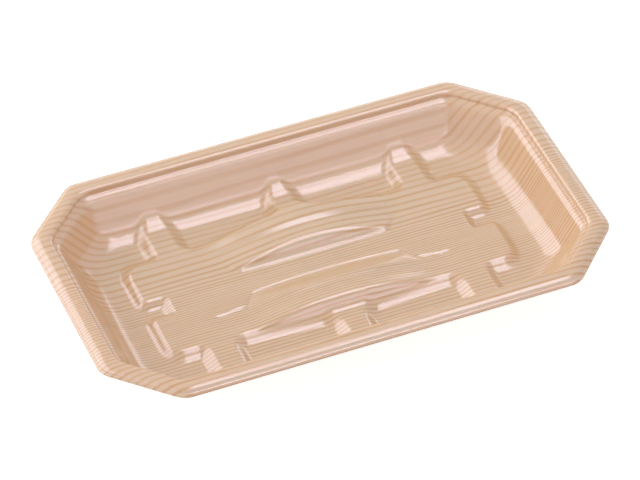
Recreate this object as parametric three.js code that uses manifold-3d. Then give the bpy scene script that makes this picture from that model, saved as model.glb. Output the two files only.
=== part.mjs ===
// Shallow eight-sided fish tray, thermoformed in one piece from thin plastic sheet.
// Millimetres, +Z up, the long side along X. The underside of the base stands on z = 0
// and the tray is centred on the Z axis.
import * as THREE from 'three';
import Module from 'manifold-3d';

const wasm = await Module();
wasm.setup();

// Driving sizes.
const LENGTH = 210;             // over the rim
const WIDTH = 126;
const HEIGHT = 20.2;            // underside of the base to the crest of the rim
const SHEET = 0.6;              // thickness of the sheet, measured square to its face
const CHAMFER = 24.3;           // leg of the cut corner at the rim
const EDGE_ROUND = 9;           // plan radius where a side meets a cut corner, at the edge
const FLOOR_ROUND = 15;         // the same down at the foot of the wall

// Rim, from the edge inwards.
const LIP_DROP = 1.5;           // edge of the lip below the crest
const LIP_TURN = 1.2;           // height of the turned down edge
const LIP_FLAT = 1.2;           // narrow flat before the fine step
const LIP_STEP = 0.4;           // height of the fine step
const FLANGE = 7.3;             // edge to the inner side of the crest
const CROWN = [                 // rounding of the flange: share of its width, drop from the crest
  [0.32, 0.5], [0.42, 0.24], [0.56, 0.1], [0.78, 0], [0.88, 0.12], [0.95, 0.34], [1, 0.8],
];
const LOCK_DROP = 2.9;          // step down inside the crest that the lid snaps into
const LOCK_RUN = 0.6;
const LOCK_EASE = 0.3;          // easing of the hollow at the foot of that step
const LEDGE = 1.9;              // sloping ledge under it
const LEDGE_DROP = 0.6;

// Wall.
const WALL_ANGLE = 60;          // degrees from the level
const WALL_FILLET = 12;         // radius at the foot of the wall
const WALL_EASE = 0.7;          // easing of the corner between ledge and wall

// Raised part of the base inside the gutter.
const RAISE = 2.6;              // above the gutter
const SIDE_STEP = 71.5;         // half length of the raised part
const DRAFT = 0.78;             // sideways run of its flanks for each mm of height
const UPPER_DRAFT = 0.6;        // the same above the flat of the raised part
const NOTCH_HALF = 4.9;         // notch in the middle of each end
const NOTCH_END = 62.3;
const POCKET_EDGE = 25.5;       // corner pockets start here
const RIDGE_OUT = 57.5;         // outer side of the ridges between pockets and long troughs
const RIDGE_WIDTH = 10.5;
const RIDGE_IN = RIDGE_OUT - RIDGE_WIDTH;
const RIB_HALF = 4.6;           // middle rib
const BACK_BOW = 6;             // bow of the long edges of the raised part
const FRONT_BOW = 1.8;
const ROUND = { notch: 1.8, step: 5.5, pocket: 3.5, ridge: 6, rib: 8 };
const RAMP_START = 40.5;        // ridges and rib climb from here to the wall
const RAMP_RISE = 3.2;
const RAMP_RUN = 7;
const RAMP_FLANK = [1, 1.45, 1.6];             // how far the flanks lean in, level by level

// The two arched waves across the raised part.
const WAVE_HALF = 46;           // half length of a wave
const BACK_WAVE = { front: 4.7, rear: 5.7 };   // heights at the middle
const FRONT_WAVE = { front: 4.2, rear: 3.8 };
const WAVE_RUN = 0.8;           // run of the wave fronts for each mm of height
const VALLEY = { back: 6.8, front: -6.4 };     // straight sides of the valley between waves
const VALLEY_WIDEN = { back: 6.5, front: -4.6 };
const BEND = { from: 30, to: 37 };             // where those sides swing outwards
const TIER = { back: 19.4, front: -14.6 };     // fine crease along the top of each wave
const TIER_RUN = 1.1;
const TIER_LIFT = { back: 0.3, front: 0.6 };   // rise of the wave tops up to their creases
const CREST_EASE = 1.2;                        // easing beside the valley sides
const CREST_FALL = 0.25;
const LEAST_RUN = 0.9;                         // run of a wave side where the wave dies out
const EDGE_GAP = 0.1;                          // wave foot inside the long edge of its base
const REAR_LEAN = 0.4;                         // rear side of the back wave, as a share of its run

// Mesh fineness.
const RIM_STEPS = 5;            // points along each rounded plan corner
const FILLET_STEPS = 5;
const WAVE_STEPS = 30;          // columns across a wave
const BOW_STEPS = 4;

const HALF_L = LENGTH / 2;
const HALF_W = WIDTH / 2;
const GUTTER = SHEET;                       // top face of the gutter
const BASE = GUTTER + RAISE;                // top face of the raised part
const CREST = HEIGHT;
const LIP = CREST - LIP_DROP;
const REACH = 20;                           // overshoot of the helper solids
const LEAST_ROUND = 0.35;                   // tightest plan radius of a hollow corner
const RAD = Math.PI / 180;

/** Closed outline of the cut-corner rectangle, inset all round and rounded. */
function rimOutline(inset, radius) {
  const a = HALF_L - inset;
  const b = HALF_W - inset;
  const leg = CHAMFER - (2 - Math.SQRT2) * inset;
  const corners = [[a, -b + leg], [a, b - leg], [a - leg, b], [-a + leg, b],
    [-a, b - leg], [-a, -b + leg], [-a + leg, -b], [a - leg, -b]];
  return roundCorners(corners.map(([x, y]) => ({ x, y, r: radius, n: RIM_STEPS })));
}

/** Replaces each corner of a closed path by an arc of n steps; r = 0 keeps the point. */
function roundCorners(path) {
  const out = [];
  path.forEach((c, i) => {
    const p = path[(i + path.length - 1) % path.length];
    const q = path[(i + 1) % path.length];
    if (!c.r) { out.push([c.x, c.y]); return; }
    const u = new THREE.Vector2(p.x - c.x, p.y - c.y).normalize();
    const v = new THREE.Vector2(q.x - c.x, q.y - c.y).normalize();
    const half = Math.acos(THREE.MathUtils.clamp(u.dot(v), -1, 1)) / 2;
    const axis = u.clone().add(v).normalize();
    const centre = axis.clone().multiplyScalar(c.r / Math.sin(half));
    const turn = Math.PI - 2 * half;
    const side = Math.sign(u.x * v.y - u.y * v.x);
    const start = Math.atan2(-axis.y, -axis.x) + side * turn / 2;
    for (let k = 0; k <= c.n; k++) {
      const t = start - side * turn * k / c.n;
      out.push([c.x + centre.x + c.r * Math.cos(t), c.y + centre.y + c.r * Math.sin(t)]);
    }
  });
  return out;
}

/** Moves every edge of a counterclockwise path outwards; hollow corners tighten. */
function grow(path, by) {
  return path.map((c, i) => {
    const p = path[(i + path.length - 1) % path.length];
    const q = path[(i + 1) % path.length];
    const d1 = new THREE.Vector2(c.x - p.x, c.y - p.y).normalize();
    const d2 = new THREE.Vector2(q.x - c.x, q.y - c.y).normalize();
    const cross = d1.x * d2.y - d1.y * d2.x;
    const k = by / (1 + d1.dot(d2));
    const x = c.x + (d1.y + d2.y) * k;
    const y = c.y - (d1.x + d2.x) * k;
    const r = c.r ? Math.max(LEAST_ROUND, c.r + Math.sign(cross) * by) : 0;
    return { ...c, x, y, r };
  });
}

/** Closed solid through a stack of outlines that share one point count. */
function loft(rings) {
  const n = rings[0].points.length;
  const xyz = [];
  const tri = [];
  rings.forEach(({ points, z }) => points.forEach(([x, y]) => xyz.push(x, y, z)));
  for (let k = 0; k + 1 < rings.length; k++) {
    for (let i = 0; i < n; i++) {
      const a = k * n + i;
      const b = k * n + (i + 1) % n;
      tri.push(a, b, b + n, a, b + n, a + n);
    }
  }
  const cap = (k, flip) => {
    const flat = rings[k].points.map(([x, y]) => new THREE.Vector2(x, y));
    for (const [a, b, c] of THREE.ShapeUtils.triangulateShape(flat, [])) {
      tri.push(k * n + a, k * n + (flip ? c : b), k * n + (flip ? b : c));
    }
  };
  cap(0, true);
  cap(rings.length - 1, false);
  return solid(xyz, tri);
}

function solid(xyz, tri) {
  return new wasm.Manifold(new wasm.Mesh({
    numProp: 3,
    vertProperties: new Float32Array(xyz),
    triVerts: new Uint32Array(tri),
  }));
}

/** Section of the upper face, from the turned edge of the lip to the gutter: [inset, z]. */
function upperSection() {
  const turn = LIP_TURN / 2;
  const foot = FLANGE + LOCK_RUN;
  const lock = CREST - LOCK_DROP;
  const wall = WALL_ANGLE * RAD;
  const top = [foot + LEDGE, lock - LEDGE_DROP];
  const eased = WALL_EASE / Math.tan(wall);
  const line = [
    [0, LIP - LIP_TURN], [0, LIP - turn], [turn, LIP], [LIP_FLAT, LIP],
    [LIP_FLAT + LIP_STEP, LIP + LIP_STEP],
    ...CROWN.map(([share, drop]) => [FLANGE * share, CREST - drop]),
    [foot - LOCK_EASE, lock + LOCK_EASE], [foot, lock],
    [top[0] - WALL_EASE, top[1] + WALL_EASE * LEDGE_DROP / LEDGE],
    [top[0] + eased, top[1] - WALL_EASE],
  ];
  const last = line[line.length - 1];
  const run = (last[1] - GUTTER) / Math.tan(wall);
  const back = WALL_FILLET * Math.tan(wall / 2);
  const centre = last[0] + run + back;
  for (let k = 0; k <= FILLET_STEPS; k++) {
    const t = wall * (1 - k / FILLET_STEPS);
    line.push([centre - WALL_FILLET * Math.sin(t), GUTTER + WALL_FILLET * (1 - Math.cos(t))]);
  }
  return line;
}

/** The same section moved to the lower face of the sheet. */
function lowerSection(line) {
  return line.map(([d, z], i) => {
    const p = line[Math.max(0, i - 1)];
    const q = line[Math.min(line.length - 1, i + 1)];
    const e1 = new THREE.Vector2(d - p[0], z - p[1]);
    const e2 = new THREE.Vector2(q[0] - d, q[1] - z);
    if (e1.length() === 0) e1.copy(e2);
    if (i === line.length - 1) e2.set(1, 0);
    e1.normalize();
    e2.normalize();
    const k = SHEET / (1 + e1.dot(e2));
    return [d + (e1.y + e2.y) * k, z - (e1.x + e2.x) * k];
  });
}

/** Everything under a section of the rim and wall, as one solid. */
function underSection(line, bottom, skirt) {
  const deepest = line[line.length - 1][0];
  const ring = ([d, z]) => ({
    points: rimOutline(d, THREE.MathUtils.lerp(EDGE_ROUND, FLOOR_ROUND, Math.max(0, d) / deepest)),
    z,
  });
  const edge = [[-skirt, bottom], [-skirt, line[0][1]]];
  return loft([...(skirt ? edge : edge.slice(0, 1)), ...line].map(ring));
}

/** Long edge of the raised part at x: it bows outwards towards the middle. */
function longEdge(x, bow) {
  return POCKET_EDGE + bow * Math.cos(Math.PI / 2 * Math.min(1, Math.abs(x) / RIDGE_IN)) ** 2;
}

/** Plan of the raised part with its notches, ridges and ribs, counterclockwise. */
function raisedPlan() {
  const far = HALF_W - CHAMFER / 4;
  const quarter = (bow) => {
    const list = [
      { x: NOTCH_END, y: NOTCH_HALF, r: ROUND.notch, n: 3 },
      { x: SIDE_STEP, y: NOTCH_HALF, r: ROUND.notch, n: 3 },
      { x: SIDE_STEP, y: POCKET_EDGE, r: ROUND.step, n: 5 },
      { x: RIDGE_OUT, y: POCKET_EDGE, r: ROUND.pocket, n: 4 },
      { x: RIDGE_OUT, y: far, r: 0 },
      { x: RIDGE_IN, y: far, r: 0 },
      { x: RIDGE_IN, y: POCKET_EDGE, r: ROUND.ridge, n: 5 },
    ];
    for (let k = 0; k <= BOW_STEPS; k++) {
      const x = THREE.MathUtils.lerp(RIDGE_IN - 7, RIB_HALF + 9, k / BOW_STEPS);
      list.push({ x, y: longEdge(x, bow), r: 0 });
    }
    list.push({ x: RIB_HALF, y: longEdge(RIB_HALF, bow), r: ROUND.rib, n: 5 });
    list.push({ x: RIB_HALF, y: far, r: 0 });
    return list;
  };
  const flip = (list, sx, sy) => list.map((c) => ({ ...c, x: c.x * sx, y: c.y * sy }));
  const back = quarter(BACK_BOW);
  const front = quarter(FRONT_BOW);
  return [...back, ...flip(back, -1, 1).reverse(), ...flip(front, -1, -1),
    ...flip(front, 1, -1).reverse()];
}

/** Flared block that the raised part is cut from; inward moves every flank by that much. */
function raisedBlock(inward, depth) {
  const plan = raisedPlan();
  const levels = [
    [GUTTER - depth, DRAFT * (RAISE + depth)],
    [BASE, 0],
    ...[RAMP_RISE, 2 * RAMP_RISE, REACH].map((up, k) => [
      BASE + up, -RAMP_FLANK[k] * UPPER_DRAFT * RAMP_RISE]),
  ];
  return loft(levels.map(([z, out]) => ({ points: roundCorners(grow(plan, out - inward)), z })));
}

/** 0 to 1 smoothly between two values of t. */
const ease = (t, from, to) => THREE.MathUtils.smoothstep(t, from, to);

/** Height of a wave at x as a share of its height in the middle. */
const arch = (x) => Math.cos(Math.PI / 2 * Math.min(1, Math.abs(x) / WAVE_HALF));

/** Section of the raised face along Y at one x: fixed number of [y, z] points. */
function raisedSection(x) {
  const share = arch(x);
  const swing = ease(Math.abs(x), BEND.from, BEND.to);
  const run = (h) => Math.max(LEAST_RUN, h * share * WAVE_RUN);
  const frontEdge = -longEdge(x, FRONT_BOW) + EDGE_GAP;
  const backEdge = longEdge(x, BACK_BOW) - EDGE_GAP;
  const rearSide = VALLEY.front + VALLEY_WIDEN.front * swing;
  const valleySide = VALLEY.back + VALLEY_WIDEN.back * swing;
  const far = HALF_W;
  const top = RAMP_START + RAMP_RUN;
  const wave = (y, h) => [y, BASE + h * share];
  return [
    [-far, BASE + RAMP_RISE], [-top, BASE + RAMP_RISE], [-RAMP_START, BASE],
    [frontEdge, BASE],
    wave(frontEdge + run(FRONT_WAVE.front / WAVE_RUN), FRONT_WAVE.front),
    wave(TIER.front - TIER_RUN / 2, FRONT_WAVE.front),
    wave(TIER.front + TIER_RUN / 2, FRONT_WAVE.rear + TIER_LIFT.front),
    wave(rearSide - CREST_EASE, FRONT_WAVE.rear + CREST_FALL),
    wave(rearSide, FRONT_WAVE.rear - CREST_FALL),
    [rearSide + run(FRONT_WAVE.rear), BASE],
    [valleySide, BASE],
    wave(valleySide + run(BACK_WAVE.front), BACK_WAVE.front - CREST_FALL),
    wave(valleySide + run(BACK_WAVE.front) + CREST_EASE, BACK_WAVE.front),
    wave(TIER.back - TIER_RUN / 2, BACK_WAVE.front + TIER_LIFT.back),
    wave(TIER.back + TIER_RUN / 2, BACK_WAVE.rear),
    wave(backEdge - REAR_LEAN / 2 * run(BACK_WAVE.rear), BACK_WAVE.rear),
    [backEdge + REAR_LEAN * run(BACK_WAVE.rear), BASE],
    [RAMP_START, BASE], [top, BASE + RAMP_RISE], [far, BASE + RAMP_RISE],
  ];
}

/** Solid under the waved face of the base; drop moves the face down square to itself. */
function underWaves(drop) {
  const xs = [];
  const outer = SIDE_STEP + 4;
  xs.push(-outer, -RIDGE_OUT);
  for (let k = 0; k <= WAVE_STEPS; k++) {
    xs.push(THREE.MathUtils.lerp(-WAVE_HALF, WAVE_HALF, k / WAVE_STEPS));
  }
  xs.push(RIDGE_OUT, outer);
  const rows = xs.map((x) => raisedSection(x).map(([y, z]) => new THREE.Vector3(x, y, z)));
  const n = rows[0].length;
  const near = (i, size) => THREE.MathUtils.clamp(i, 0, size - 1);
  const at = (i, j) => rows[near(i, rows.length)][near(j, n)];
  const xyz = [];
  rows.forEach((row, i) => row.forEach((p, j) => {
    const along = at(i + 1, j).clone().sub(at(i - 1, j));
    const across = at(i, j + 1).clone().sub(at(i, j - 1));
    const normal = along.cross(across).normalize();
    const q = p.clone().addScaledVector(normal, -drop);
    const rim = i === 0 || i === rows.length - 1 || j === 0 || j === n - 1;
    xyz.push(rim ? p.x : q.x, rim ? p.y : q.y, rim ? p.z - drop : q.z);
  }));
  const count = rows.length * n;
  rows.forEach((row) => row.forEach((p) => xyz.push(p.x, p.y, -REACH)));
  const tri = [];
  for (let i = 0; i + 1 < rows.length; i++) {
    for (let j = 0; j + 1 < n; j++) {
      const a = i * n + j;
      tri.push(a, a + n, a + n + 1, a, a + n + 1, a + 1);
      const b = a + count;
      tri.push(b, b + n + 1, b + n, b, b + 1, b + n + 1);
    }
  }
  const wall = (a, b) => tri.push(a, b, b + count, a, b + count, a + count);
  for (let i = 0; i + 1 < rows.length; i++) {
    wall((i + 1) * n, i * n);
    wall(i * n + n - 1, (i + 1) * n + n - 1);
  }
  for (let j = 0; j + 1 < n; j++) {
    wall(j, j + 1);
    wall((rows.length - 1) * n + j + 1, (rows.length - 1) * n + j);
  }
  return solid(xyz, tri);
}

/** The whole tray: everything under the upper face less everything under the lower face. */
function tray() {
  const upper = upperSection();
  const lower = lowerSection(upper);
  lower[0][1] = upper[0][1];
  const flank = SHEET / Math.sin(Math.atan(1 / DRAFT));
  const above = underSection(upper, -REACH, 0)
    .add(raisedBlock(0, SHEET / 2).intersect(underWaves(0)));
  const below = underSection(lower, -REACH - 1, 3)
    .add(raisedBlock(flank, 2 * SHEET).intersect(underWaves(SHEET)));
  return above.subtract(below);
}

/** Flat-shaded geometry of a finished solid. */
function geometryOf(body) {
  const mesh = body.getMesh();
  const geometry = new THREE.BufferGeometry();
  geometry.setAttribute('position', new THREE.BufferAttribute(mesh.vertProperties, 3));
  geometry.setIndex(new THREE.BufferAttribute(mesh.triVerts, 1));
  geometry.computeVertexNormals();
  return geometry;
}

const finish = new THREE.MeshStandardMaterial({ color: 0xe2bd92, roughness: 0.32, metalness: 0 });
finish.name = 'wood grain printed polystyrene sheet';

const group = new THREE.Group();
group.name = 'fish_tray';
const body = new THREE.Mesh(geometryOf(tray()), finish);
body.name = 'tray';
group.add(body);

export default group;
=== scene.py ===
"""Dresses the one-piece fish tray: its fine thermoformed shape, its wood grain film, the light and
the camera of the photograph. Sizes are in millimetres until a mesh is written, then metres.
"""
from __future__ import annotations

import logging
import math
from dataclasses import dataclass, field

import bpy
import numpy as np
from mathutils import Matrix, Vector

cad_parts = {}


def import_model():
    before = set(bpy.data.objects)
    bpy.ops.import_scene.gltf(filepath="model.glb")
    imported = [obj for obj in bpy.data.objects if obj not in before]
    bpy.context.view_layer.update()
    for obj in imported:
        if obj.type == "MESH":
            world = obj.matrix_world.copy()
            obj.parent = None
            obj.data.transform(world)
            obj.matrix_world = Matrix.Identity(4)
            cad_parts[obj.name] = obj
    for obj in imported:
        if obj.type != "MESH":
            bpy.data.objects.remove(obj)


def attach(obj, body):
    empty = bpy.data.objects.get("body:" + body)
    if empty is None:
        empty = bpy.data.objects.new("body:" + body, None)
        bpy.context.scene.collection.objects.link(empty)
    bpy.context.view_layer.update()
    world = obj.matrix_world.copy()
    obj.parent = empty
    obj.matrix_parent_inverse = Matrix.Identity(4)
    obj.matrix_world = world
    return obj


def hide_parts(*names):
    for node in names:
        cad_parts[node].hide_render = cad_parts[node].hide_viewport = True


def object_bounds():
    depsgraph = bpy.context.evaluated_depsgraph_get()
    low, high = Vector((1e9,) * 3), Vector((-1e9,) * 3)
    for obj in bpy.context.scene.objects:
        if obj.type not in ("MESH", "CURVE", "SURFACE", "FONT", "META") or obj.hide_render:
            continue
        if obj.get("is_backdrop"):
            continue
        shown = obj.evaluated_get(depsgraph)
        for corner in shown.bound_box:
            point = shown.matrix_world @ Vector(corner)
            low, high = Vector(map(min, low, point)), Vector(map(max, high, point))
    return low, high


LOG = logging.getLogger("fish_tray")
MM = 0.001


def linear(hex_colour: str) -> tuple[float, float, float, float]:
    """Turns an sRGB hex colour into the linear values that shader sockets take.

    Args:
        hex_colour: Colour such as "#E3C2A0".

    Returns:
        Linear red, green, blue and an alpha of 1.
    """
    parts = (int(hex_colour[i:i + 2], 16) / 255 for i in (1, 3, 5))
    return (*(p / 12.92 if p <= 0.04045 else ((p + 0.055) / 1.055) ** 2.4 for p in parts), 1.0)


def add_node(tree: bpy.types.NodeTree, kind: str, settings: dict | None = None,
             links: dict | None = None) -> bpy.types.Node:
    """Adds one node, sets it up and links its inputs.

    Args:
        tree: Node tree that gets the node.
        kind: Blender's name for the node type.
        settings: Attribute names with values, and input sockets (by name or index) with values.
        links: Input sockets (by name or index) with the output sockets that feed them.

    Returns:
        The new node.
    """
    node = tree.nodes.new(kind)
    for name, value in (settings or {}).items():
        if isinstance(name, str) and name not in node.inputs and hasattr(node, name):
            setattr(node, name, value)
        else:
            node.inputs[name].default_value = value
    for name, source in (links or {}).items():
        tree.links.new(source, node.inputs[name])
    return node


def blank_material(name: str) -> tuple[bpy.types.Material, bpy.types.NodeTree]:
    """New material with an empty node tree."""
    material = bpy.data.materials.new(name)
    material.use_nodes = True
    material.node_tree.nodes.clear()
    return material, material.node_tree


def in_millimetres(tree: bpy.types.NodeTree) -> bpy.types.NodeSocket:
    """Place on the object in millimetres."""
    place = add_node(tree, "ShaderNodeTexCoord")
    return add_node(tree, "ShaderNodeVectorMath", {"operation": "SCALE", "Scale": 1 / MM},
                    {0: place.outputs["Object"]}).outputs[0]


def seen_or_mirrored(tree: bpy.types.NodeTree) -> bpy.types.NodeSocket:
    """1 where the camera sees a surface, also by reflection or through another, and else 0."""
    path = add_node(tree, "ShaderNodeLightPath")
    seen = add_node(tree, "ShaderNodeMath", {"operation": "MAXIMUM"}, {
        0: path.outputs["Is Camera Ray"], 1: path.outputs["Is Glossy Ray"]})
    return add_node(tree, "ShaderNodeMath", {"operation": "MAXIMUM"}, {
        0: seen.outputs[0], 1: path.outputs["Is Transmission Ray"]}).outputs[0]


def smooth_min(a: np.ndarray, b: np.ndarray, blend: float | np.ndarray) -> np.ndarray:
    """Lower of two heights with the corner between them rounded over the blend height."""
    h = np.maximum(blend - np.abs(a - b), 0) / blend
    return np.minimum(a, b) - h * h * blend / 4


def smooth_max(a: np.ndarray, b: np.ndarray, blend: float | np.ndarray) -> np.ndarray:
    """Higher of two heights with the hollow between them filled over the blend height."""
    return -smooth_min(-a, -b, blend)


def ease(t: np.ndarray, start: float, end: float) -> np.ndarray:
    """0 to 1 smoothly between two values of t."""
    s = np.clip((t - start) / (end - start), 0, 1)
    return s * s * (3 - 2 * s)


@dataclass(frozen=True)
class Corner:
    """Corner of a plan outline with its rounding radius in millimetres."""

    x: float
    y: float
    r: float = 0.0


@dataclass
class Plan:
    """Closed plan outline, counterclockwise, with rounded corners."""

    corners: list[Corner]
    steps: int = 9

    def points(self) -> np.ndarray:
        """Outline with every rounded corner replaced by an arc.

        Returns:
            Array of x, y points.
        """
        out: list[tuple[float, float]] = []
        count = len(self.corners)
        for i, c in enumerate(self.corners):
            if not c.r:
                out.append((c.x, c.y))
                continue
            here = np.array([c.x, c.y])
            u = np.array([self.corners[i - 1].x, self.corners[i - 1].y]) - here
            w = self.corners[(i + 1) % count]
            v = np.array([w.x, w.y]) - here
            u /= np.linalg.norm(u)
            v /= np.linalg.norm(v)
            half = math.acos(float(np.clip(u @ v, -1, 1))) / 2
            axis = (u + v) / np.linalg.norm(u + v)
            centre = here + axis * c.r / math.sin(half)
            side = math.copysign(1, u[0] * v[1] - u[1] * v[0])
            turn = math.pi - 2 * half
            start = math.atan2(-axis[1], -axis[0]) + side * turn / 2
            for k in range(self.steps + 1):
                t = start - side * turn * k / self.steps
                out.append((centre[0] + c.r * math.cos(t), centre[1] + c.r * math.sin(t)))
        return np.array(out)

    def inside_distance(self, x: np.ndarray, y: np.ndarray) -> np.ndarray:
        """Distance to the outline, positive inside.

        Args:
            x: Places along the tray.
            y: Places across the tray.

        Returns:
            Signed distance for each place.
        """
        p = self.points()
        q = np.roll(p, -1, axis=0)
        best = np.full(x.shape, np.inf)
        inside = np.zeros(x.shape, bool)
        for (ax, ay), (bx, by) in zip(p, q):
            ex, ey = bx - ax, by - ay
            length = ex * ex + ey * ey
            if length < 1e-12:
                continue
            t = np.clip(((x - ax) * ex + (y - ay) * ey) / length, 0, 1)
            best = np.minimum(best, (x - ax - t * ex) ** 2 + (y - ay - t * ey) ** 2)
            if ay != by:
                crosses = (ay > y) != (by > y)
                inside ^= crosses & (x < ax + (y - ay) / ey * ex)
        return np.where(inside, 1, -1) * np.sqrt(best)


@dataclass
class RaisedBase:
    """Raised part of the base: notches, pockets, ridges, ribs and the two arched waves.

    Drafts and runs are sideways millimetres for each millimetre of height. Blends are the heights
    over which two faces run into one another.
    """

    gutter: float
    half_width: float
    rise: float = 2.6
    side_step: float = 71.5
    draft: float = 0.86
    upper_draft: float = 0.72
    notch_half: float = 4.9
    notch_end: float = 62.3
    pocket_edge: float = 25.5
    ridge_out: float = 57.5
    ridge_in: float = 47.0
    rib_half: float = 4.6
    wall_gap: float = 6.0
    notch_round: float = 1.8
    end_round: float = 5.5
    ridge_round: float = 3.5
    pocket_round: float = 6.0
    rib_round: float = 8.0
    bow_points: int = 9
    bow_ends: tuple[float, float] = (7.0, 9.0)
    back_bow: float = 6.0
    front_bow: float = 1.8
    ramp_start: float = 40.5
    ramp_slope: float = 0.457
    wave_half: float = 46.0
    wave_run: float = 0.8
    back_wave: tuple[float, float] = (4.7, 5.7)
    back_rear_run: float = 0.48
    back_rear_foot: float = 0.4
    front_wave: tuple[float, float] = (4.2, 3.8)
    front_tier: tuple[float, float] = (0.5, 0.9)
    front_rear_run: float = 1.5
    valley_back: float = 6.8
    valley_front: float = -6.4
    widen_back: float = 6.5
    widen_front: float = -5.8
    bend: tuple[float, float] = (30.0, 37.0)
    sill: float = 0.5
    sill_run: float = 0.9
    sill_gap: float = 2.2
    sill_end: tuple[float, float] = (46.0, 53.0)
    sill_front: tuple[float, float] = (-24.0, -18.0)
    tier_back: float = 19.4
    tier_front: float = -14.6
    tier_run: float = 1.1
    top_blend: float = 1.9
    crest_blend: float = 2.0
    foot_blend: float = 1.9
    valley_blend: float = 2.4
    trough_blend: float = 3.4
    trough_run: float = 3.0
    ramp_blend: float = 1.0
    least_blend: float = 0.25

    @property
    def flat(self) -> float:
        """Height of the flat of the raised part."""
        return self.gutter + self.rise

    def long_edge(self, x: np.ndarray | float, bow: float) -> np.ndarray | float:
        """Distance of a long edge from the middle line; it bows outwards at the centre."""
        return self.pocket_edge + bow * np.cos(
            np.pi / 2 * np.minimum(1, np.abs(x) / self.ridge_in)) ** 2

    def plan(self) -> Plan:
        """Plan outline of the raised part at the level of its flat.

        Returns:
            The closed outline.
        """
        far = self.half_width - self.wall_gap
        bow_from, bow_to = self.bow_ends

        def quarter(bow: float) -> list[Corner]:
            """Corners of one quarter, from the notch round to the middle rib."""
            row = [
                Corner(self.notch_end, self.notch_half, self.notch_round),
                Corner(self.side_step, self.notch_half, self.notch_round),
                Corner(self.side_step, self.pocket_edge, self.end_round),
                Corner(self.ridge_out, self.pocket_edge, self.ridge_round),
                Corner(self.ridge_out, far),
                Corner(self.ridge_in, far),
                Corner(self.ridge_in, self.pocket_edge, self.pocket_round),
            ]
            for x in np.linspace(self.ridge_in - bow_from, self.rib_half + bow_to,
                                 self.bow_points):
                row.append(Corner(float(x), float(self.long_edge(x, bow))))
            row.append(Corner(self.rib_half, float(self.long_edge(self.rib_half, bow)),
                              self.rib_round))
            row.append(Corner(self.rib_half, far))
            return row

        def turned(row: list[Corner], sx: int, sy: int) -> list[Corner]:
            """Copy of a quarter mirrored into another one."""
            return [Corner(c.x * sx, c.y * sy, c.r) for c in row]

        back = quarter(self.back_bow)
        front = quarter(self.front_bow)
        return Plan([*back, *turned(back, -1, 1)[::-1], *turned(front, -1, -1),
                     *turned(front, 1, -1)[::-1]])

    def narrowed(self, share: np.ndarray) -> np.ndarray:
        """Share of a blend that is left where a wave gets lower."""
        return self.least_blend + (1 - self.least_blend) * share

    def wave(self, y: np.ndarray, share: np.ndarray, height: np.ndarray,
             front: np.ndarray, rear: np.ndarray, rear_run: float) -> np.ndarray:
        """Height of one wave above the flat.

        Args:
            y: Places across the tray.
            share: Height at each place as a share of the height in the middle.
            height: Height of the top at full share.
            front: Line where the front slope starts.
            rear: Line where the rear slope ends.
            rear_run: Run of the rear slope for each millimetre of height.

        Returns:
            Height, at or below zero outside the wave.
        """
        top = (height + self.valley_blend) * share - self.valley_blend
        blend = self.crest_blend * self.narrowed(share)
        slopes = smooth_min((y - front) / self.wave_run, (rear - y) / rear_run, blend)
        return smooth_min(top, slopes, blend)

    def face(self, x: np.ndarray, y: np.ndarray) -> np.ndarray:
        """Height of the waved and ramped face over the whole raised part.

        Args:
            x: Places along the tray.
            y: Places across the tray.

        Returns:
            Height of the face at each place.
        """
        share = np.cos(np.pi / 2 * np.minimum(1, np.abs(x) / self.wave_half))
        swing = ease(np.abs(x), *self.bend)
        half_tier = self.tier_run / 2
        back_rise = ease(y, self.tier_back - half_tier, self.tier_back + half_tier)
        back_top = self.back_wave[0] + (self.back_wave[1] - self.back_wave[0]) * back_rise
        front_rise = ease(y, self.tier_front - half_tier, self.tier_front + half_tier)
        front_fall = ease(y, self.tier_front + half_tier, self.valley_front)
        front_top = (self.front_wave[0] + self.front_tier[0] * front_rise
                     - self.front_tier[1] * front_fall)
        sill_line = (self.valley_front + self.widen_front * swing
                     + self.wave_run * self.front_wave[1] * share)
        back_rear = (self.long_edge(x, self.back_bow)
                     + self.back_rear_foot * self.wave_run * self.back_wave[1] * share)
        front = self.wave(y, share, front_top, -self.long_edge(x, self.front_bow),
                          sill_line - self.sill_gap, self.front_rear_run)
        back = self.wave(y, share, back_top, self.valley_back + self.widen_back * swing,
                         back_rear, self.back_rear_run)
        waves = smooth_max(np.zeros_like(x), np.maximum(front, back),
                           self.valley_blend * self.narrowed(share))
        ramp = (np.abs(y) - self.ramp_start) * self.ramp_slope
        before_sill = 1 - ease(y - sill_line, -self.sill_run, 0)
        drop = self.sill * before_sill * (1 - ease(np.abs(x), *self.sill_end)) * ease(
            y, *self.sill_front)
        return self.flat + smooth_max(waves, ramp, self.ramp_blend) - drop

    def over(self, x: np.ndarray, y: np.ndarray, under: np.ndarray) -> np.ndarray:
        """Lays the raised part over the gutter and wall.

        Args:
            x: Places along the tray.
            y: Places across the tray.
            under: Height of the gutter and wall at each place.

        Returns:
            Height of the finished upper face.
        """
        inward = self.plan().inside_distance(x, y)
        flank = self.flat + inward / np.where(inward < 0, self.draft, self.upper_draft)
        raised = smooth_min(flank, self.face(x, y), self.top_blend)
        foot = self.foot_blend + (self.trough_blend - self.foot_blend) * ease(
            np.abs(y), self.pocket_edge - self.trough_run, self.pocket_edge + self.trough_run)
        return smooth_max(raised, under, foot)


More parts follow.
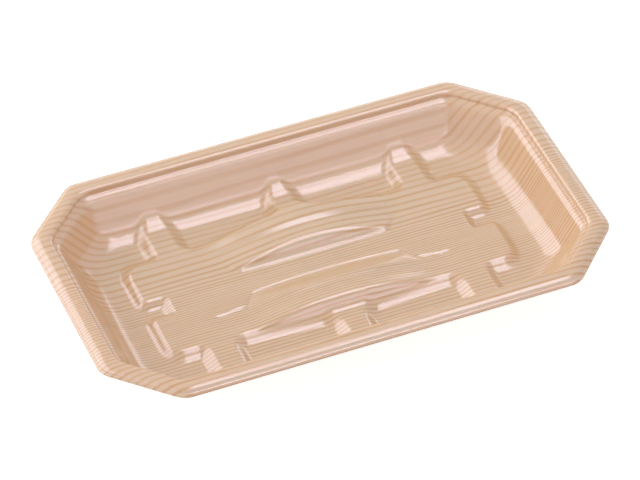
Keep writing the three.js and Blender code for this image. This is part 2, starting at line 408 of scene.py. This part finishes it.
@dataclass
class RimAndWall:
    """Rim, lid step, ledge and sloping wall as rings that follow the eight-sided edge."""

    half_length: float
    half_width: float
    height: float
    sheet: float = 0.6
    chamfer: float = 24.3
    edge_round: float = 9.0
    floor_round: float = 15.0
    lip_drop: float = 1.5
    lip_turn: float = 1.2
    lip_flat: float = 1.0
    lip_step: float = 0.35
    flange: float = 7.75
    crown: tuple[tuple[float, float], ...] = (
        (0.24, 0.7), (0.32, 0.4), (0.42, 0.17), (0.58, 0.05), (0.78, 0), (0.88, 0.1),
        (0.95, 0.34), (1, 0.8))
    lock_drop: float = 2.9
    lock_run: float = 0.25
    lock_ease: float = 0.2
    ledge: float = 1.8
    ledge_drop: float = 0.32
    wall_angle: float = 60.0
    wall_fillet: float = 12.0
    wall_ease: float = 0.6
    fillet_rings: int = 15
    corner_sweep: float = 4.0
    sweep_from: tuple[float, float] = (11.0, 22.0)
    sweep_join: tuple[float, float] = (10.5, 14.0)
    soften: float = 0.8
    soften_share: float = 0.55
    soften_turn: float = 0.8
    soften_start: tuple[float, float] = (1.5, 3.5)
    soften_end: tuple[float, float] = (12.0, 15.0)
    grip: tuple[float, float] = (74.5, 31.0)
    corner_power: int = 5

    def rim_line(self) -> np.ndarray:
        """Section of the rim from the inner foot of the lip to the top of the wall.

        Returns:
            Array of inset, height points with softened corners.
        """
        lip = self.height - self.lip_drop
        turn = self.lip_turn / 2
        foot = self.flange + self.lock_run
        lock = self.height - self.lock_drop
        top = (foot + self.ledge, lock - self.ledge_drop)
        eased = self.wall_ease / math.tan(math.radians(self.wall_angle))
        line = np.array([
            (0, lip - self.lip_turn), (0, lip - turn), (turn, lip), (self.lip_flat, lip),
            (self.lip_flat + self.lip_step, lip + self.lip_step),
            *((self.flange * share, self.height - drop) for share, drop in self.crown),
            (foot - self.lock_ease, lock + self.lock_ease), (foot, lock),
            (top[0] - self.wall_ease, top[1] + self.wall_ease * self.ledge_drop / self.ledge),
            (top[0] + eased, top[1] - self.wall_ease),
        ])
        cut = [line[0]]
        for a, b in zip(line[:-1], line[1:]):
            cut += [a * 0.75 + b * 0.25, a * 0.25 + b * 0.75]
        cut.append(line[-1])
        return np.array(cut)

    def section(self) -> np.ndarray:
        """Whole section from the lip to the inner end of the gutter.

        Returns:
            Array of inset, height points.
        """
        rim = self.rim_line()
        angle = math.radians(self.wall_angle)
        start = rim[-1]
        run = (start[1] - self.sheet) / math.tan(angle)
        centre = start[0] + run + self.wall_fillet * math.tan(angle / 2)
        turns = np.linspace(angle, 0, self.fillet_rings + 1)
        fillet = np.column_stack([centre - self.wall_fillet * np.sin(turns),
                                  self.sheet + self.wall_fillet * (1 - np.cos(turns))])
        wall = [start + (fillet[0] - start) * t for t in np.linspace(0, 1, 9)[1:-1]]
        return np.vstack([rim, wall, fillet])

    def softened(self, line: np.ndarray) -> np.ndarray:
        """Heights of a section once its steps are drawn out, as round the cut corners.

        Args:
            line: Section as inset, height points.

        Returns:
            One height for each point of the section.
        """
        fine = np.arange(-4 * self.soften, line[-1, 0], 0.05)
        z = np.interp(fine, line[:, 0], line[:, 1])
        reach = np.arange(-3, 3.01, 0.05 / self.soften)
        weight = np.exp(-reach ** 2 / 2)
        smooth = np.convolve(z, weight / weight.sum(), "same")
        kept = np.interp(line[:, 0], fine, smooth)
        share = ease(line[:, 0], *self.soften_start) * (1 - ease(line[:, 0], *self.soften_end))
        return line[:, 1] * (1 - share) + kept * share

    def swept_height(self, x: np.ndarray, y: np.ndarray) -> np.ndarray:
        """Height of wall and gutter, with the wall swept round the cut corners in a wide curve.

        Args:
            x: Places along the tray.
            y: Places across the tray.

        Returns:
            Height at each place.
        """
        end = self.half_length - np.abs(x)
        side = self.half_width - np.abs(y)
        cut = (end + side - self.chamfer) / math.sqrt(2)
        nearest = np.minimum(np.minimum(end, side), cut)
        blend = 0.01 + self.corner_sweep * ease(nearest, *self.sweep_from)
        inset = smooth_min(smooth_min(end, cut, blend), side, blend)
        line = self.section()
        return np.interp(inset, line[:, 0], line[:, 1])

    def under_rings(self) -> list[int]:
        """Rings of the section that the lower side keeps; the fine steps are left out."""
        count = len(self.section())
        return [0, *range(1, count - 1, 2), count - 1]

    def outline(self, inset: float, deepest: float, along: np.ndarray,
                across: np.ndarray) -> np.ndarray:
        """Ring of points round the rim at one inset, matched to the lines of a grid.

        Args:
            inset: Distance in from the edge.
            deepest: Inset of the last ring.
            along: Grid lines across a long side, -1 to 1 between the middles of two cut corners.
            across: Grid lines across a short side.

        Returns:
            Points counterclockwise from the front left corner, each with its share of the turn
            into the cut corner.
        """
        a = self.half_length - inset
        b = self.half_width - inset
        leg = self.chamfer - (2 - math.sqrt(2)) * inset
        r = self.edge_round + (self.floor_round - self.edge_round) * max(0, inset) / deepest
        tangent = r * math.tan(math.pi / 8)

        def half_side(reach: float, off: float, t: np.ndarray, grip: float) -> tuple:
            """Places from the middle of a side to the middle of the cut corner."""
            flat = reach - leg - tangent
            arc = r * math.pi / 4
            total = flat + arc + leg / math.sqrt(2) - tangent
            s = grip * t + (total - grip) * t ** self.corner_power
            turn = np.clip((s - flat) / r, 0, math.pi / 4)
            tail = np.maximum(s - flat - arc, 0) / math.sqrt(2)
            return (np.minimum(s, flat) + r * np.sin(turn) + tail,
                    off - r * (1 - np.cos(turn)) - tail, turn / (math.pi / 4))

        side_x, side_y, side_turn = half_side(a, b, np.abs(along), self.grip[0])
        end_y, end_x, end_turn = half_side(b, a, np.abs(across), self.grip[1])
        side_x = np.copysign(side_x, along)
        end_y = np.copysign(end_y, across)
        return np.vstack([
            np.column_stack([side_x, -side_y, side_turn])[:-1],
            np.column_stack([end_x, end_y, end_turn])[:-1],
            np.column_stack([side_x, side_y, side_turn])[:0:-1],
            np.column_stack([-end_x, end_y, end_turn])[:0:-1],
        ])

    def ring(self, inset: float, height: float, soft: float, deepest: float,
             along: np.ndarray, across: np.ndarray) -> np.ndarray:
        """Ring of the section at its finished height.

        Args:
            inset: Distance in from the edge.
            height: Height of the section there.
            soft: Height there once the steps are drawn out.
            deepest: Inset of the last ring.
            along: Grid lines across a long side.
            across: Grid lines across a short side.

        Returns:
            Points of the ring with their heights.
        """
        ring = self.outline(inset, deepest, along, across)
        turned = ease(ring[:, 2], 0, self.soften_turn)
        own = height + (soft - height) * turned * self.soften_share
        swept = self.swept_height(ring[:, 0], ring[:, 1])
        share = ease(np.array(inset), *self.sweep_join)
        return np.column_stack([ring[:, :2], own + (swept - own) * share])


@dataclass
class Blank:
    """Points and faces of a piece of sheet before it is drawn."""

    points: np.ndarray
    faces: list[tuple[int, ...]]
    ring: int


@dataclass
class SheetBlank:
    """Lays out the sheet: rings round a grid, closest where the relief is fine."""

    rim: RimAndWall
    base: RaisedBase
    columns: int = 264
    rows: int = 104
    bridge: int = 8
    flank: float = 1.0
    crowding: float = 1.3
    reach: tuple[float, float] = (2.6, 2.4)

    def stations(self, half: float, count: int, places: list[float], reach: float) -> np.ndarray:
        """Grid lines from -half to half that gather near the given places.

        Args:
            half: Half size of the grid.
            count: Number of steps.
            places: Distances from the middle where lines gather.
            reach: Half width of each gathering.

        Returns:
            Positions of the lines.
        """
        t = np.linspace(0, half, 2000)
        weight = np.ones_like(t)
        for place in places:
            weight += self.crowding * np.exp(-((t - place) / reach) ** 2)
        total = np.concatenate([[0], np.cumsum((weight[1:] + weight[:-1]) / 2)])
        right = np.interp(np.linspace(0, total[-1], count // 2 + 1), total, t)
        return np.concatenate([-right[:0:-1], right])

    def lay(self, line: np.ndarray, skip: int = 1) -> Blank:
        """Points and faces of one side of the sheet at its finished height.

        Args:
            line: Section of rim, wall and gutter as inset, height points.
            skip: Takes every grid line (1), or every second one (2).

        Returns:
            The finished layout, with the outermost ring last.
        """
        half_x, half_y = self.rim.grip
        b = self.base
        xs = self.stations(half_x, self.columns, [
            b.ridge_in - self.flank, b.ridge_out + self.flank, b.notch_end + self.flank,
            b.side_step + self.flank], self.reach[0])[::skip]
        ys = self.stations(half_y, self.rows, [
            b.notch_half - self.flank, b.pocket_edge + self.flank], self.reach[1])[::skip]
        gx, gy = np.meshgrid(xs, ys, indexing="ij")
        grid = np.column_stack([gx.ravel(), gy.ravel(), np.full(gx.size, line[-1, 1])])
        rows = len(ys)
        last = len(xs) - 1
        loop = ([i * rows for i in range(last)] + [last * rows + j for j in range(rows - 1)]
                + [i * rows + rows - 1 for i in range(last, 0, -1)]
                + list(range(rows - 1, 0, -1)))
        faces: list[tuple[int, ...]] = []
        for i in range(last):
            for j in range(rows - 1):
                k = i * rows + j
                faces.append((k, k + rows, k + rows + 1, k + 1))
        deepest = line[-1, 0]
        along, across = xs / half_x, ys / half_y
        rings = []
        inner = self.rim.outline(deepest, deepest, along, across)
        for w in np.linspace(0, 1, self.bridge + 1)[1:-1]:
            flat = grid[loop, :2] * (1 - w) + inner[:, :2] * w
            rings.append(np.column_stack([flat, np.full(len(flat), line[-1, 1])]))
        for (inset, z), soft in zip(line[::-1], self.rim.softened(line)[::-1]):
            rings.append(self.rim.ring(inset, z, soft, deepest, along, across))
        points = np.vstack([grid, *rings])
        count = len(loop)
        floor = len(grid) + (self.bridge - 1) * count
        points[:floor, 2] = self.rim.swept_height(points[:floor, 0], points[:floor, 1])
        before = loop
        start = len(grid)
        for _ in rings:
            here = list(range(start, start + count))
            for k in range(count):
                n = (k + 1) % count
                faces.append((before[k], here[k], here[n], before[n]))
            before = here
            start += count
        points[:, 2] = b.over(points[:, 0], points[:, 1], points[:, 2])
        return Blank(points, faces, count)

    def mesh(self) -> bpy.types.Mesh:
        """Both sides of the sheet as one closed blank that still lies flat.

        The finished height of each point is kept as an attribute, and a second attribute marks
        the points of the lower side.

        Returns:
            The new mesh, in metres.
        """
        section = self.rim.section()
        upper = self.lay(section)
        under = self.lay(section[self.rim.under_rings()], 2)
        shift = len(upper.points)
        faces = list(upper.faces) + [tuple(shift + k for k in f[::-1]) for f in under.faces]
        top = shift - upper.ring
        low = shift + len(under.points) - under.ring
        for k in range(under.ring):
            n = (k + 1) % under.ring
            faces.append((top + 2 * k, low + k, low + n, top + (2 * k + 2) % upper.ring,
                          top + 2 * k + 1))
        points = np.vstack([upper.points, under.points]) * MM
        mesh = bpy.data.meshes.new("sheet blank")
        flat = points * (1, 1, 0)
        mesh.from_pydata([tuple(p) for p in flat], [], faces)
        height = mesh.attributes.new("height", "FLOAT", "POINT")
        height.data.foreach_set("value", points[:, 2].astype(np.float32))
        lower = mesh.attributes.new("lower", "FLOAT", "POINT")
        mark = np.concatenate([np.zeros(shift), np.ones(len(under.points))])
        lower.data.foreach_set("value", mark.astype(np.float32))
        return mesh


@dataclass(frozen=True)
class PrintedSheet:
    """Thermoformed polystyrene sheet with printed wood grain film, its pattern in millimetres.

    Each pair of grain_line is a place across the tray and the count of growth lines up to it.
    """

    pale: str = "#DFC09D"
    grain: str = "#CC9E66"
    grain_line: tuple[tuple[float, float], ...] = (
        (-63, 0), (-42, 8), (-21, 20), (3, 39), (6.5, 41), (12, 43.2), (18, 45.1), (30, 48.6),
        (46, 54.2), (63, 60.5))
    wander: tuple[float, float] = (110.0, 16.0)
    line_edge: tuple[float, float] = (-0.1, 1.0)
    line_patch: float = 55.0
    line_change: float = 0.73
    line_depth: tuple[float, float] = (0.55, 1.0)
    rear_depth: float = 0.62
    rear_from: tuple[float, float] = (8.0, 34.0)
    fibre: float = 0.05
    fibre_size: tuple[float, float] = (9.0, 0.3)
    grit: float = 1.8
    grit_depth: float = 0.019
    roughness: float = 0.165
    refraction: float = 1.92
    shine: str = "#F0ECFF"
    glow: float = 0.4
    glow_reach: float = 1.5
    glow_colour: tuple[float, float, float] = (1.0, 0.45, 0.2)

    def turns(self, tree: bpy.types.NodeTree, mm: bpy.types.NodeSocket,
              across: bpy.types.NodeSocket) -> bpy.types.NodeSocket:
        """Counts the growth lines across the tray, with a slow wander along it.

        Args:
            tree: Node tree of the material.
            mm: Place in millimetres.
            across: Place across the tray.

        Returns:
            Count of growth lines, whole at the middle of each line.
        """
        low, high = self.grain_line[0], self.grain_line[-1]
        span = add_node(tree, "ShaderNodeMapRange", {"From Min": low[0], "From Max": high[0]},
                        {"Value": across})
        curve = add_node(tree, "ShaderNodeFloatCurve", links={"Value": span.outputs[0]})
        line = curve.mapping.curves[0]
        places = [((y - low[0]) / (high[0] - low[0]), count / high[1])
                  for y, count in self.grain_line]
        line.points[0].location = places[0]
        line.points[-1].location = places[-1]
        for place in places[1:-1]:
            line.points.new(*place)
        curve.mapping.update()
        at = add_node(tree, "ShaderNodeVectorMath", {"operation": "MULTIPLY", 1: (
            1 / self.wander[0], 1 / self.wander[1], 0)}, {0: mm})
        noise = add_node(tree, "ShaderNodeTexNoise", {
            "noise_dimensions": "2D", "Scale": 1.0, "Detail": 2.0}, {"Vector": at.outputs[0]})
        wander = add_node(tree, "ShaderNodeMath", {"operation": "SUBTRACT", 1: 0.5},
                          {0: noise.outputs[0]})
        return add_node(tree, "ShaderNodeMath", {"operation": "MULTIPLY_ADD", 1: float(high[1])},
                        {0: curve.outputs[0], 2: wander.outputs[0]}).outputs[0]

    def growth(self, tree: bpy.types.NodeTree,
               mm: bpy.types.NodeSocket) -> bpy.types.NodeSocket:
        """Depth of the growth lines: some darker than others, all paler towards the rear.

        Args:
            tree: Node tree of the material.
            mm: Place in millimetres.

        Returns:
            Share of the grain colour, 0 to 1.
        """
        axes = add_node(tree, "ShaderNodeSeparateXYZ", links={0: mm})
        turns = self.turns(tree, mm, axes.outputs["Y"])
        angle = add_node(tree, "ShaderNodeMath", {"operation": "MULTIPLY", 1: 2 * math.pi},
                         {0: turns})
        swell = add_node(tree, "ShaderNodeMath", {"operation": "COSINE"}, {0: angle.outputs[0]})
        line = add_node(tree, "ShaderNodeMapRange", {
            "interpolation_type": "SMOOTHSTEP", "From Min": self.line_edge[0],
            "From Max": self.line_edge[1]}, {"Value": swell.outputs[0]})
        number = add_node(tree, "ShaderNodeMath", {"operation": "ROUND"}, {0: turns})
        spot = add_node(tree, "ShaderNodeCombineXYZ", links={
            "X": axes.outputs["X"], "Y": number.outputs[0]})
        spot_at = add_node(tree, "ShaderNodeVectorMath", {"operation": "MULTIPLY", 1: (
            1 / self.line_patch, self.line_change, 0)}, {0: spot.outputs[0]})
        tone = add_node(tree, "ShaderNodeTexNoise", {
            "noise_dimensions": "2D", "Scale": 1.0, "Detail": 1.0}, {"Vector": spot_at.outputs[0]})
        deep = add_node(tree, "ShaderNodeMapRange", {
            "From Min": 0.3, "From Max": 0.7, "To Min": self.line_depth[0],
            "To Max": self.line_depth[1]}, {"Value": tone.outputs[0]})
        rear = add_node(tree, "ShaderNodeMapRange", {
            "From Min": self.rear_from[0], "From Max": self.rear_from[1], "To Min": 1.0,
            "To Max": self.rear_depth}, {"Value": axes.outputs["Y"]})
        paler = add_node(tree, "ShaderNodeMath", {"operation": "MULTIPLY"},
                         {0: deep.outputs[0], 1: rear.outputs[0]})
        return add_node(tree, "ShaderNodeMath", {"operation": "MULTIPLY"},
                        {0: line.outputs[0], 1: paler.outputs[0]}).outputs[0]

    def fibres(self, tree: bpy.types.NodeTree,
               mm: bpy.types.NodeSocket) -> bpy.types.NodeSocket:
        """Brightness of the fine printed fibres, around 1.

        Args:
            tree: Node tree of the material.
            mm: Place in millimetres.

        Returns:
            Factor for the colour.
        """
        length, width = self.fibre_size
        at = add_node(tree, "ShaderNodeVectorMath", {"operation": "MULTIPLY", 1: (
            1 / length, 1 / width, 1 / width)}, {0: mm})
        noise = add_node(tree, "ShaderNodeTexNoise", {"Scale": 1.0, "Detail": 3.0},
                         {"Vector": at.outputs[0]})
        return add_node(tree, "ShaderNodeMapRange", {
            "From Min": 0.25, "From Max": 0.75, "To Min": 1 - self.fibre,
            "To Max": 1 + self.fibre}, {"Value": noise.outputs[0]}).outputs[0]

    def build(self) -> bpy.types.Material:
        """Makes the material.

        Returns:
            The new material.
        """
        # A pale peach ground with straight tan growth lines along the tray, close in front and
        # wide at the back, under a glossy film with a very fine grit in its highlights.
        material, tree = blank_material(
            "thermoformed polystyrene sheet with printed wood grain film")
        mm = in_millimetres(tree)
        colour = add_node(tree, "ShaderNodeMix", {
            "data_type": "RGBA", 6: linear(self.pale), 7: linear(self.grain)},
            {0: self.growth(tree, mm)})
        toned = add_node(tree, "ShaderNodeVectorMath", {"operation": "SCALE"},
                         {0: colour.outputs[2], "Scale": self.fibres(tree, mm)})
        grit = add_node(tree, "ShaderNodeTexNoise", {"Scale": self.grit, "Detail": 2.0},
                        {"Vector": mm})
        bump = add_node(tree, "ShaderNodeBump", {
            "Strength": 1.0, "Distance": self.grit_depth * MM}, {"Height": grit.outputs[0]})
        shader = add_node(tree, "ShaderNodeBsdfPrincipled", {
            "Roughness": self.roughness, "IOR": self.refraction,
            "Specular Tint": linear(self.shine), "Subsurface Weight": self.glow,
            "Subsurface Radius": self.glow_colour, "Subsurface Scale": self.glow_reach * MM}, {
            "Base Color": toned.outputs[0], "Normal": bump.outputs[0]})
        add_node(tree, "ShaderNodeOutputMaterial", links={0: shader.outputs[0]})
        return material


@dataclass(frozen=True)
class PlainSheet:
    """Unprinted lower side of the polystyrene sheet."""

    colour: str = "#DDBE9F"
    cloud: float = 20.0
    cloud_tone: tuple[float, float] = (0.95, 1.03)
    grit: float = 1.6
    grit_depth: float = 0.03
    roughness: float = 0.4
    refraction: float = 1.55

    def build(self) -> bpy.types.Material:
        """Makes the material.

        Returns:
            The new material.
        """
        # An even cream tan, a little cloudy, with a softer shine than the film.
        material, tree = blank_material("unprinted lower side of polystyrene sheet")
        mm = in_millimetres(tree)
        cloud = add_node(tree, "ShaderNodeTexNoise", {"Scale": 1 / self.cloud, "Detail": 5.0},
                         {"Vector": mm})
        tone = add_node(tree, "ShaderNodeMapRange", {
            "From Min": 0.3, "From Max": 0.7, "To Min": self.cloud_tone[0],
            "To Max": self.cloud_tone[1]}, {"Value": cloud.outputs[0]})
        toned = add_node(tree, "ShaderNodeVectorMath", {
            "operation": "SCALE", 0: linear(self.colour)[:3]}, {"Scale": tone.outputs[0]})
        grit = add_node(tree, "ShaderNodeTexNoise", {"Scale": self.grit, "Detail": 3.0},
                        {"Vector": mm})
        bump = add_node(tree, "ShaderNodeBump", {
            "Strength": 0.4, "Distance": self.grit_depth * MM}, {"Height": grit.outputs[0]})
        shader = add_node(tree, "ShaderNodeBsdfPrincipled", {
            "Roughness": self.roughness, "IOR": self.refraction}, {
            "Base Color": toned.outputs[0], "Normal": bump.outputs[0]})
        add_node(tree, "ShaderNodeOutputMaterial", links={0: shader.outputs[0]})
        return material


@dataclass
class Forming:
    """Geometry Nodes that draw the flat blank into the tray and give the sheet its thickness."""

    thickness: float
    depth: float = 1.0

    def tree(self) -> bpy.types.GeometryNodeTree:
        """Builds the node tree with its named inputs.

        Returns:
            The new tree.
        """
        tree = bpy.data.node_groups.new("formed sheet", "GeometryNodeTree")
        face = tree.interface
        face.new_socket("Geometry", in_out="OUTPUT", socket_type="NodeSocketGeometry")
        face.new_socket("Geometry", in_out="INPUT", socket_type="NodeSocketGeometry")
        for name in ("Drawing depth", "Sheet thickness"):
            face.new_socket(name, in_out="INPUT", socket_type="NodeSocketFloat")
        for name in ("Upper side", "Lower side"):
            face.new_socket(name, in_out="INPUT", socket_type="NodeSocketMaterial")
        given = add_node(tree, "NodeGroupInput")
        height = add_node(tree, "GeometryNodeInputNamedAttribute", {"Name": "height"})
        lower = add_node(tree, "GeometryNodeInputNamedAttribute", {"Name": "lower"})
        drawn = add_node(tree, "ShaderNodeMath", {"operation": "MULTIPLY"}, {
            0: height.outputs["Attribute"], 1: given.outputs["Drawing depth"]})
        lift = add_node(tree, "ShaderNodeCombineXYZ", links={"Z": drawn.outputs[0]})
        formed = add_node(tree, "GeometryNodeSetPosition", links={
            "Geometry": given.outputs["Geometry"], "Offset": lift.outputs[0]})
        normal = add_node(tree, "GeometryNodeInputNormal")
        gauge = add_node(tree, "ShaderNodeMath", {"operation": "MULTIPLY"}, {
            0: lower.outputs["Attribute"], 1: given.outputs["Sheet thickness"]})
        inward = add_node(tree, "ShaderNodeVectorMath", {"operation": "SCALE"}, {
            0: normal.outputs[0], "Scale": gauge.outputs[0]})
        thick = add_node(tree, "GeometryNodeSetPosition", links={
            "Geometry": formed.outputs[0], "Offset": inward.outputs[0]})
        smooth = add_node(tree, "GeometryNodeSetShadeSmooth", links={0: thick.outputs[0]})
        real = add_node(tree, "GeometryNodeRealizeInstances", links={0: smooth.outputs[0]})
        upper = add_node(tree, "GeometryNodeSetMaterial", links={
            "Geometry": real.outputs[0], "Material": given.outputs["Upper side"]})
        side = add_node(tree, "FunctionNodeCompare", {"operation": "GREATER_THAN",
                        "B": 0.9}, {"A": lower.outputs["Attribute"]})
        both = add_node(tree, "GeometryNodeSetMaterial", links={
            "Geometry": upper.outputs[0], "Selection": side.outputs[0],
            "Material": given.outputs["Lower side"]})
        add_node(tree, "NodeGroupOutput", links={0: both.outputs[0]})
        return tree

    def form(self, blank: bpy.types.Mesh, upper: bpy.types.Material,
             lower: bpy.types.Material) -> bpy.types.Object:
        """Forms the blank and turns the result into a plain mesh.

        Args:
            blank: Flat blank with its heights as an attribute.
            upper: Material of the upper side.
            lower: Material of the lower side.

        Returns:
            The finished tray.
        """
        carrier = bpy.data.objects.new("blank", blank)
        bpy.context.scene.collection.objects.link(carrier)
        modifier = carrier.modifiers.new("forming", "NODES")
        modifier.node_group = self.tree()
        values = {"Drawing depth": self.depth, "Sheet thickness": self.thickness * MM,
                  "Upper side": upper, "Lower side": lower}
        for item in modifier.node_group.interface.items_tree:
            if item.in_out == "INPUT" and item.name in values:
                modifier[item.identifier] = values[item.name]
        graph = bpy.context.evaluated_depsgraph_get()
        mesh = bpy.data.meshes.new_from_object(carrier.evaluated_get(graph))
        mesh.name = "formed_tray"
        bpy.data.objects.remove(carrier)
        tray = bpy.data.objects.new("formed_tray", mesh)
        bpy.context.scene.collection.objects.link(tray)
        return tray


@dataclass(frozen=True)
class SoftBox:
    """Rectangular soft lamp aimed at the tray."""

    name: str
    toward: tuple[float, float, float]
    distance: float
    size: tuple[float, float]
    power: float
    colour: str = "#FFFFFF"

    def place(self) -> bpy.types.Object:
        """Puts the lamp in the scene.

        Returns:
            The new lamp.
        """
        data = bpy.data.lights.new(self.name, "AREA")
        data.shape = "RECTANGLE"
        data.size, data.size_y = self.size
        data.energy = self.power
        data.color = linear(self.colour)[:3]
        lamp = bpy.data.objects.new(self.name, data)
        way = Vector(self.toward).normalized()
        lamp.location = way * self.distance
        lamp.rotation_euler = (-way).to_track_quat("-Z", "Y").to_euler()
        bpy.context.scene.collection.objects.link(lamp)
        return lamp


@dataclass
class Studio:
    """White surroundings, soft lamps and the camera of the photograph, in metres and degrees."""

    azimuth: float = -22.68
    elevation: float = 43.09
    lens: float = 249.2
    distance: float = 1.701
    shift: tuple[float, float] = (0.000254, -0.002998)
    aim_height: float = 0.0188
    sensor: float = 36.0
    fill: float = 0.25
    floor_half: float = 3.0
    floor_drop: float = 0.0002
    floor_colour: str = "#E8E8E8"
    floor_glow: float = 0.74
    lamps: tuple[SoftBox, ...] = (
        SoftBox("overhead lamp", (0.28, -0.02, 0.95), 1.3, (0.9, 0.52), 5.0, "#FDFCFF"),
        SoftBox("left lamp", (-0.74, 0.48, 0.50), 1.6, (2.7, 1.7), 28.0, "#FAFBFF"),
        SoftBox("low front lamp", (0.12, -0.92, 0.30), 1.7, (1.9, 0.8), 2.9, "#ECFAFF"),
        SoftBox("front strip lamp", (0.24, -0.74, 0.60), 1.7, (2.0, 0.4), 4.3, "#FAF8FF"),
        SoftBox("rear right lamp", (0.68, 0.66, 0.30), 1.5, (0.8, 0.38), 1.3),
    )

    def world(self) -> None:
        """White surroundings that the camera and reflections see as white."""
        world = bpy.data.worlds.new("white surroundings")
        world.use_nodes = True
        tree = world.node_tree
        tree.nodes.clear()
        fill = add_node(tree, "ShaderNodeBackground", {0: linear("#FFFFFF"), 1: self.fill})
        white = add_node(tree, "ShaderNodeBackground", {0: linear("#FFFFFF"), 1: 1.0})
        mix = add_node(tree, "ShaderNodeMixShader", links={
            0: seen_or_mirrored(tree), 1: fill.outputs[0], 2: white.outputs[0]})
        add_node(tree, "ShaderNodeOutputWorld", links={0: mix.outputs[0]})
        bpy.context.scene.world = world

    def floor(self) -> bpy.types.Object:
        """Pale floor under the tray that keeps a faint shadow.

        Returns:
            The floor.
        """
        mesh = bpy.data.meshes.new("floor")
        r = self.floor_half
        mesh.from_pydata([(-r, -r, 0), (r, -r, 0), (r, r, 0), (-r, r, 0)], [], [(0, 1, 2, 3)])
        # Matt white paper, lifted to full white for the eye.
        material, tree = blank_material("white studio floor")
        matt = add_node(tree, "ShaderNodeBsdfDiffuse", {0: linear(self.floor_colour)})
        lit = add_node(tree, "ShaderNodeEmission", {0: linear("#FFFFFF"), 1: self.floor_glow})
        whiter = add_node(tree, "ShaderNodeAddShader", links={
            0: matt.outputs[0], 1: lit.outputs[0]})
        mix = add_node(tree, "ShaderNodeMixShader", links={
            0: seen_or_mirrored(tree), 1: matt.outputs[0], 2: whiter.outputs[0]})
        add_node(tree, "ShaderNodeOutputMaterial", links={0: mix.outputs[0]})
        mesh.materials.append(material)
        floor = bpy.data.objects.new("floor", mesh)
        floor.location.z = -self.floor_drop
        bpy.context.scene.collection.objects.link(floor)
        floor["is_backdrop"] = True
        return floor

    def camera(self) -> bpy.types.Object:
        """Camera at the photograph's angle and distance.

        Returns:
            The camera.
        """
        a, e = math.radians(self.azimuth), math.radians(self.elevation)
        back = Vector((math.sin(a) * math.cos(e), -math.cos(a) * math.cos(e), math.sin(e)))
        right = Vector((math.cos(a), math.sin(a), 0))
        up = back.cross(right)
        data = bpy.data.cameras.new("photograph")
        data.sensor_width = self.sensor
        data.lens = self.lens
        camera = bpy.data.objects.new("photograph", data)
        target = Vector((0, 0, self.aim_height)) - right * self.shift[0] + up * self.shift[1]
        camera.location = target + back * self.distance
        camera.rotation_euler = (-back).to_track_quat("-Z", "Y").to_euler()
        bpy.context.scene.collection.objects.link(camera)
        bpy.context.scene.camera = camera
        return camera

    def build(self) -> None:
        """Sets up the whole studio."""
        scene = bpy.context.scene
        scene.view_settings.view_transform = "Standard"
        self.world()
        self.floor()
        for lamp in self.lamps:
            LOG.info("%s placed", lamp.place().name)
        LOG.info("%s camera placed", self.camera().name)


@dataclass
class FishTray:
    """The whole tray as one formed sheet."""

    half_length: float
    half_width: float
    height: float
    upper: PrintedSheet = field(default_factory=PrintedSheet)
    lower: PlainSheet = field(default_factory=PlainSheet)

    def build(self) -> bpy.types.Object:
        """Lays out the blank, forms it and dresses it.

        Returns:
            The finished tray.
        """
        rim = RimAndWall(self.half_length, self.half_width, self.height)
        base = RaisedBase(rim.sheet, self.half_width)
        blank = SheetBlank(rim, base).mesh()
        tray = Forming(rim.sheet).form(blank, self.upper.build(), self.lower.build())
        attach(tray, "root")
        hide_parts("tray")
        return tray


def plain(corners: tuple) -> list[list[float]]:
    """The two corners of a box as plain lists of numbers."""
    return [[float(v) for v in corner] for corner in corners]


def main() -> None:
    """Builds the tray and the studio, and reports each piece."""
    logging.basicConfig(level=logging.INFO)
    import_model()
    before = plain(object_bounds())
    high = before[1]
    tray = FishTray(high[0] / MM, high[1] / MM, high[2] / MM).build()
    LOG.info("%s has %d faces", tray.name, len(tray.data.polygons))
    Studio().build()


if __name__ == "__main__":
    main()
